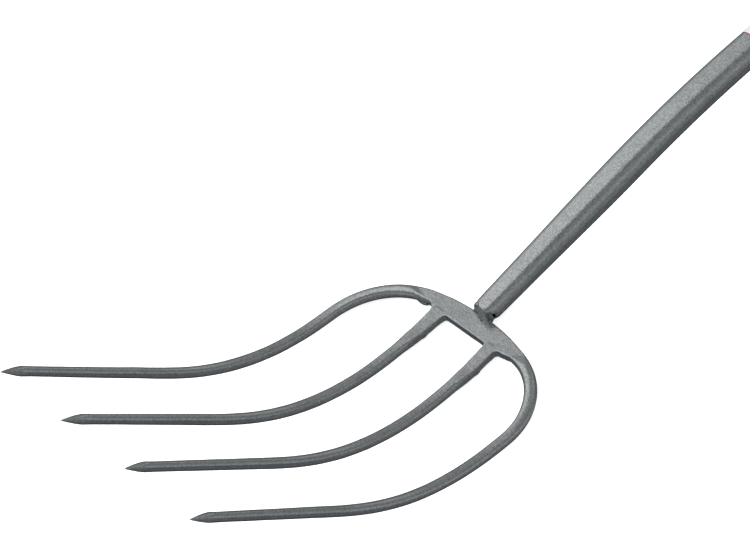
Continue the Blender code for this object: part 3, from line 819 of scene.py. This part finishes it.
def label_stock():
    """Its printing is worked out from how far each spot is from the label's edges."""
    finish = Finish("label_stock", Roughness=0.42, Coat_Weight=0.25, Coat_Roughness=0.2)
    spot = finish.node("ShaderNodeTexCoord", output="UV")
    across = finish.node("ShaderNodeSeparateXYZ", None, {0: spot}, output="X")
    length = finish.node("ShaderNodeSeparateXYZ", None, {0: spot}, output="Y")

    def least(first, second):
        return finish.node("ShaderNodeMath", {"operation": "MINIMUM"}, {0: first, 1: second})

    wide = (LABEL_TO - LABEL_FROM) * TUBE_RADIUS
    edge = least(least(across, 1 - across) * wide, least(length, 1 - length) * LABEL_LENGTH)
    border = finish.spread(edge, BORDER_OUTER, BORDER_INNER, 1.0, 0.0)
    paper = finish.ramp(finish.noise(900, 3, 0.6), [(0.3, (0.72, 0.71, 0.69)), (0.7, (0.84, 0.83, 0.81))])
    bar = finish.spread(length, BAR_FROM, BAR_FROM + 0.002)
    bar = bar * finish.spread(length, BAR_TO, BAR_TO + 0.002, 1, 0)
    inside = finish.spread(edge, BAR_MARGIN, BAR_MARGIN + 0.0002)
    from_dot = ((across - DOT_ACROSS) * wide) ** 2.0 + ((length - DOT_LENGTH) * LABEL_LENGTH) ** 2.0
    dot = finish.spread(from_dot, DOT_SQUARED, DOT_SQUARED + 0.0000025, 1, 0)
    bordered = finish.mix(border, paper, (0.42, 0.02, 0.03, 1))
    marks = finish.node("ShaderNodeMath", {"operation": "MAXIMUM"}, {0: bar * inside, 1: dot})
    colour = finish.mix(marks, bordered, (0.05, 0.055, 0.06, 1))
    bump = finish.bump(finish.noise(700, 2, 0.5), 0.3, 0.00003)
    return finish.surface(Base_Color=colour, Normal=bump)


def label_lengths():
    """Where its rows lie: closer together at the round corners."""
    corner, far = LABEL_CORNER, LABEL_LENGTH - LABEL_CORNER
    between = np.linspace(corner, far, 25)[1:-1]
    return [*np.linspace(0, corner, 7), *between, *np.linspace(far, LABEL_LENGTH, 7)]


def thickened(shape, thick):
    """An object from a single sheet of faces, which a modifier then makes this thick."""
    bmesh.ops.recalc_face_normals(shape, faces=shape.faces)
    mesh = bpy.data.meshes.new("blank")
    shape.to_mesh(mesh)
    shape.free()
    blank = bpy.data.objects.new("blank", mesh)
    bpy.context.scene.collection.objects.link(blank)
    solid = blank.modifiers.new("thickness", "SOLIDIFY")
    solid.thickness = thick
    solid.offset = 0
    return blank


def label():
    shape = bmesh.new()
    uv = shape.loops.layers.uv.new("UVMap")
    rows = []
    for distance in label_lengths():
        gap = max(LABEL_CORNER - min(distance, LABEL_LENGTH - distance), 0)
        inset = (LABEL_CORNER - math.sqrt(max(LABEL_CORNER ** 2 - gap ** 2, 0))) / TUBE_RADIUS
        centre, _, up = shaft_frame(LABEL_START + distance)
        row = []
        for angle in np.linspace(LABEL_FROM + inset, LABEL_TO - inset, 41):
            out = SIDEWAYS * math.cos(angle) + up * math.sin(angle)
            vertex = shape.verts.new(centre + out * (TUBE_RADIUS + LABEL_LIFT))
            spot = ((angle - LABEL_FROM) / (LABEL_TO - LABEL_FROM), distance / LABEL_LENGTH)
            row.append((vertex, spot))
        rows.append(row)
    for a, b in zip(rows, rows[1:]):
        for i in range(len(a) - 1):
            corners = (a[i], b[i], b[i + 1], a[i + 1])
            face = shape.faces.new([vertex for vertex, _ in corners])
            for loop, (_, spot) in zip(face.loops, corners):
                loop[uv].uv = spot
    blank = thickened(shape, LABEL_THICK)
    return piece("shaft_label", applied(blank, "label"), label_stock(), "label_stock", "label")


label()

# ---------------------------------------------------------------- grip straps
# Two pressed steel straps, riveted to the sides of the tube, hug it as half saddles and then flare
# out and flatten into the arms of the D. Their edges are rolled, and their ends are round.
STRAP_THICK, STRAP_WIDE = 0.0025, 0.0250
SADDLE_START, SADDLE_END, FLARE_END = -0.062, -0.004, 0.056
GRIP_HALF, BAR_Y = 0.052, 0.095
STRAP_GAP = 0.0003
SADDLE_X = TUBE_RADIUS + STRAP_GAP + STRAP_THICK / 2
GRIP_CENTRE, GRIP_ALONG, GRIP_UP = shaft_frame(TUBE_LENGTH)


def at_grip(x, y, z):
    """A place at the grip: x sideways, y on along the shaft from its top, z up."""
    return GRIP_CENTRE + SIDEWAYS * x + GRIP_ALONG * y + GRIP_UP * z


def strap(word, side):
    rows = []
    stations = [(SADDLE_START + STRAP_WIDE * 0.25 * (1 - math.cos(a)), math.sin(a) * 0.35 + 0.65)
                for a in np.linspace(0.2, math.pi / 2, 7)]
    stations += [(y, 1) for y in np.linspace(SADDLE_START + 0.009, BAR_Y, 90)]
    stations += [(BAR_Y + STRAP_WIDE / 2 * math.sin(a), math.cos(a))
                 for a in np.radians(np.linspace(4, 84, 16))]
    for y, share_wide in stations:
        wide = STRAP_WIDE * share_wide
        out = smooth((y - SADDLE_END) / (FLARE_END - SADDLE_END))
        bend = (1 - smooth((y - SADDLE_END) / (0.6 * (FLARE_END - SADDLE_END)))) / SADDLE_X
        middle = SADDLE_X + (GRIP_HALF - SADDLE_X) * out
        row = []
        for across in np.linspace(-wide / 2, wide / 2, 23):
            if bend > 1.0:
                x, z = middle - (1 - math.cos(across * bend)) / bend, math.sin(across * bend) / bend
            else:
                x, z = middle, across
            row.append(at_grip(side * x, y, z))
        rows.append(row)
    shape = bmesh.new()
    grid = [[shape.verts.new(point) for point in row] for row in rows]
    for a, b in zip(grid, grid[1:]):
        for i in range(len(a) - 1):
            shape.faces.new((a[i], a[i + 1], b[i + 1], b[i]))
    blank = thickened(shape, STRAP_THICK)
    blank.modifiers["thickness"].use_even_offset = True
    rolled = blank.modifiers.new("rolled_edge", "BEVEL")
    rolled.width = 0.0007
    rolled.segments = 3
    rolled.limit_method = "ANGLE"
    rolled.angle_limit = math.radians(50)
    mesh = applied(blank, f"grip_strap_{word}")
    return piece(f"pressed_strap_{word}", mesh, PAINT, "hammer_paint", f"grip_strap_{word}")


for word, side in (("left", -1), ("right", 1)):
    strap(word, side)

# ---------------------------------------------------------------- rivets, washers and bar pin
# Plain zinc-plated steel: two short rivets through straps and tube, and the long pin of the grip
# bar, headed over a washer at each end. Hammering has left the heads a little uneven.
PIN_RADIUS, PIN_HEAD, PIN_HEAD_HIGH = 0.0040, 0.0070, 0.0032
RIVET_RADIUS, RIVET_HEAD, RIVET_HEAD_HIGH = 0.0025, 0.0046, 0.0021
RIVETS = {"strap_rivet_lower": -0.048, "strap_rivet_upper": -0.017}
WASHER_RADIUS, WASHER_THICK = 0.0100, 0.0015


def zinc():
    finish = Finish("dull_zinc", Metallic=1.0)
    blotch = finish.noise(260, 3, 0.6)
    colour = finish.ramp(blotch, [(0.3, (0.38, 0.38, 0.37)), (0.7, (0.62, 0.62, 0.60))])
    rough = finish.spread(finish.noise(800, 2, 0.6), 0.3, 0.7, 0.26, 0.48)
    bump = finish.bump(finish.noise(500, 3, 0.6), 0.4, 0.00012)
    return finish.surface(Base_Color=colour, Roughness=rough, Normal=bump)


ZINC = zinc()


def turned(name, profile, place, material, slot, node, steps=48, uneven=0.0):
    """A piece turned about an axis: profile points are (radius, along), place gives its frame."""
    origin, axis, first, second = place
    rings = []
    for radius, along in profile:
        ring = []
        for angle in np.linspace(0, 2 * math.pi, steps, endpoint=False):
            out = first * math.cos(angle) + second * math.sin(angle)
            dent = 1 + uneven * noise.noise(Vector((math.cos(angle), math.sin(angle), along * 300)))
            ring.append(origin + axis * along + out * max(radius, 0.00001) * dent)
        rings.append(ring)
    return piece(name, strip_mesh(name, rings), material, slot, node)


def rounded(corners, radius, count=4):
    """A turned profile with each inner corner rounded."""
    result = [corners[0]]
    for before, here, after in zip(corners, corners[1:], corners[2:]):
        here = Vector(here)
        a = (Vector(before) - here)
        b = (Vector(after) - here)
        reach = min(radius, a.length / 2.2, b.length / 2.2)
        start, end = here + a.normalized() * reach, here + b.normalized() * reach
        for t in np.linspace(0, 1, count):
            result.append(tuple(start * (1 - t) ** 2 + here * 2 * t * (1 - t) + end * t * t))
    return result + [corners[-1]]


def cross_axis(y):
    """The frame of a piece turned about a line across the grip."""
    return at_grip(0, y, 0), SIDEWAYS, GRIP_ALONG, GRIP_UP


def headed(name, node, pin, head, high, seat, y):
    """A pin along X with a domed head at both ends."""
    dome = [(head * math.cos(a), seat + high * math.sin(a)) for a in np.linspace(math.pi / 2, 0.12, 9)]
    upper = dome + [(head * 0.99, seat), (pin, seat)]
    profile = upper + [(radius, -along) for radius, along in reversed(upper)]
    return turned(name, profile, cross_axis(y), ZINC, "bright_steel", node, uneven=0.035)


for node, y in RIVETS.items():
    headed(f"{node}_headed", node, RIVET_RADIUS, RIVET_HEAD, RIVET_HEAD_HIGH,
           TUBE_RADIUS + STRAP_GAP + STRAP_THICK, y)

WASHER_SEAT = GRIP_HALF + STRAP_THICK / 2 + STRAP_GAP
headed("bar_pin", "grip_bar_rivet", PIN_RADIUS, PIN_HEAD, PIN_HEAD_HIGH,
       WASHER_SEAT + WASHER_THICK + STRAP_GAP, BAR_Y)
for word, side in (("left", -1), ("right", 1)):
    inner, outer = WASHER_SEAT - STRAP_GAP, WASHER_SEAT + WASHER_THICK
    hole = PIN_RADIUS + 0.0002
    corners = [(hole, inner), (WASHER_RADIUS, inner), (WASHER_RADIUS, outer), (hole, outer)]
    profile = rounded(corners, 0.0004)
    place = (at_grip(0, BAR_Y, 0), SIDEWAYS * side, GRIP_ALONG, GRIP_UP)
    turned(f"flat_washer_{word}", profile, place, ZINC, "bright_steel", f"grip_washer_{word}")

# ---------------------------------------------------------------- grip bar
# A barrel of turned ash, bored for its pin and varnished. The grain runs along the bar in long streaks,
# with open pores.
BAR_HALF = GRIP_HALF - STRAP_THICK / 2 - STRAP_GAP
BAR_END_RADIUS, BAR_MIDDLE_RADIUS, BAR_BORE = 0.0125, 0.0160, 0.0044


def ash():
    finish = Finish("varnished_ash", Coat_Weight=0.35, Coat_Roughness=0.22)
    squeeze = finish.node("ShaderNodeMapping", None, {"Vector": finish.place(), "Scale": (0.10, 1.0, 1.0)})
    ring = finish.noise(330, 3, 0.6, squeeze, 0.6)
    pores = finish.noise(2400, 2, 0.7, squeeze)
    streak = finish.ramp(ring, [
        (0.30, (0.36, 0.22, 0.11)), (0.50, (0.56, 0.38, 0.20)), (0.70, (0.66, 0.48, 0.28))])
    dark = finish.spread(pores, 0.30, 0.42, 0.55, 1.0)
    colour = finish.mix(1 - dark, streak, (0.20, 0.12, 0.06, 1))
    rough = finish.spread(ring, 0.3, 0.7, 0.55, 0.40)
    bump = finish.bump(pores, 0.35, 0.00008, finish.bump(ring, 0.3, 0.0001))
    return finish.surface(Base_Color=colour, Roughness=rough, Normal=bump)


def grip_bar():
    fuller = BAR_MIDDLE_RADIUS - BAR_END_RADIUS
    barrel = [(BAR_END_RADIUS + fuller * math.cos(math.pi / 2 * x / BAR_HALF), x)
              for x in np.linspace(BAR_HALF - 0.0012, -BAR_HALF + 0.0012, 49)]
    end = [(BAR_BORE, BAR_HALF), (BAR_END_RADIUS - 0.0009, BAR_HALF),
           (BAR_END_RADIUS - 0.0002, BAR_HALF - 0.0004)]
    profile = end + barrel + [(radius, -x) for radius, x in reversed(end)]
    return turned("turned_grip_bar", profile, cross_axis(BAR_Y), ash(), "ash", "grip_bar", steps=64)


grip_bar()

# ---------------------------------------------------------------- end plug
# A moulded black plastic plug closes the top of the tube, with a low dome and a moulding dimple.


def black_plastic():
    finish = Finish("moulded_black", Specular_IOR_Level=0.4)
    fine = finish.noise(1500, 2, 0.6)
    colour = finish.ramp(fine, [(0.3, (0.013, 0.013, 0.014)), (0.7, (0.026, 0.026, 0.027))])
    rough = finish.spread(finish.noise(300, 2, 0.5), 0.3, 0.7, 0.42, 0.58)
    return finish.surface(Base_Color=colour, Roughness=rough, Normal=finish.bump(fine, 0.4, 0.00006))


def end_plug():
    body, head = TUBE_RADIUS - TUBE_WALL - 0.0003, TUBE_RADIUS - 0.0002
    dome = [(0.0002, 0.0036), (0.0016, 0.0037), (0.0024, 0.0042), (head * 0.6, 0.0037),
            (head * 0.92, 0.0024)]
    corners = rounded([(head * 0.92, 0.0024), (head, 0.0014), (head, 0.0003), (body, 0.0002),
                       (body, -0.0120), (body - 0.001, -0.0135), (0.0002, -0.0135)], 0.0006)
    place = (at_grip(0, 0, 0), GRIP_ALONG, SIDEWAYS, GRIP_UP)
    return turned("end_plug", dome + corners[1:], place, black_plastic(), "black_plastic", "shaft_end_plug")


end_plug()

# ---------------------------------------------------------------- studio
# A plain pale floor that is lit from within, in a plain room: its pale side, above and to the
# left, is the soft light, and the other side is dimmer, so that round bars have a dark side.
FLOOR_COLOUR = (0.88, 0.88, 0.88, 1)
KEY_SIDE = (-0.60, 0.30, 0.74)
DARK_CORNER = (-0.62, 0.30, -0.73)


def floor():
    finish = Finish("pale_floor", Base_Color=FLOOR_COLOUR, Roughness=0.9, Specular_IOR_Level=0.0,
                    Emission_Color=(1, 1, 1, 1), Emission_Strength=0.74)
    mesh = bpy.data.meshes.new("floor")
    shape = bmesh.new()
    bmesh.ops.create_circle(shape, cap_ends=True, segments=64, radius=40)
    shape.to_mesh(mesh)
    shape.free()
    obj = bpy.data.objects.new("floor", mesh)
    mesh.materials.append(finish.material)
    bpy.context.scene.collection.objects.link(obj)
    obj.visible_diffuse = False
    obj.visible_glossy = False
    obj.visible_shadow = False


def room():
    """Pale walls on the left and overhead, a darker side on the right, and dimness below.

    Past the fork, low down, is a dark corner: it draws a thin dark line along a round bar's edges.
    """
    world = bpy.data.worlds.new("studio")
    world.use_nodes = True
    bpy.context.scene.world = world
    walls = Network(world.node_tree)
    towards = walls.node("ShaderNodeTexCoord", output="Generated")
    to_key = walls.node("ShaderNodeVectorMath", {"operation": "DOT_PRODUCT"},
                       {0: towards, 1: Vector(KEY_SIDE).normalized()}, output="Value")
    rise = walls.node("ShaderNodeSeparateXYZ", None, {0: towards}, output="Y")
    pale = walls.ramp(walls.spread(rise, 0.0, 1.0), [
        (0.10, (1.76, 1.76, 1.75)), (0.32, (1.32, 1.33, 1.34)), (0.52, (0.62, 0.63, 0.64)),
        (0.86, (0.54, 0.55, 0.56)), (0.95, (0.95, 0.96, 0.97))])
    dim = walls.ramp(walls.spread(to_key, -1.0, 1.0), [
        (0.0, (0.50, 0.51, 0.52)), (0.21, (0.50, 0.51, 0.52)), (0.31, (0.94, 0.95, 0.96)),
        (0.42, (0.60, 0.61, 0.62)), (0.62, (0.44, 0.45, 0.46))])
    sides = walls.mix(walls.spread(to_key, 0.36, 0.41), dim, pale)
    depth = walls.node("ShaderNodeVectorMath", {"operation": "DOT_PRODUCT"},
                      {0: towards, 1: Vector((0.45, 0.0, 1.0))}, output="Value")
    below = walls.ramp(walls.spread(depth, -1.0, 0.0), [
        (0.0, (0.09, 0.12, 0.19)), (0.11, (0.16, 0.19, 0.26)), (0.19, (0.56, 0.58, 0.63)),
        (0.58, (0.52, 0.53, 0.55)), (0.76, (0.50, 0.51, 0.52)), (0.87, (1.0, 1.0, 1.0))])
    light = walls.mix(1.0, sides, below, "MULTIPLY")
    away = walls.node("ShaderNodeVectorMath", {"operation": "DOT_PRODUCT"},
                     {0: towards, 1: Vector(DARK_CORNER).normalized()}, output="Value")
    light = walls.mix(walls.spread(away, 0.72, 0.86), light, (0.14, 0.15, 0.17, 1))
    seen = walls.node("ShaderNodeLightPath", output="Is Camera Ray")
    colour = walls.mix(seen, light, (1, 1, 1, 1))
    walls.tree.links.new(colour.socket, walls.tree.nodes["Background"].inputs["Color"])


floor()
room()
bpy.context.scene.view_settings.view_transform = "Standard"
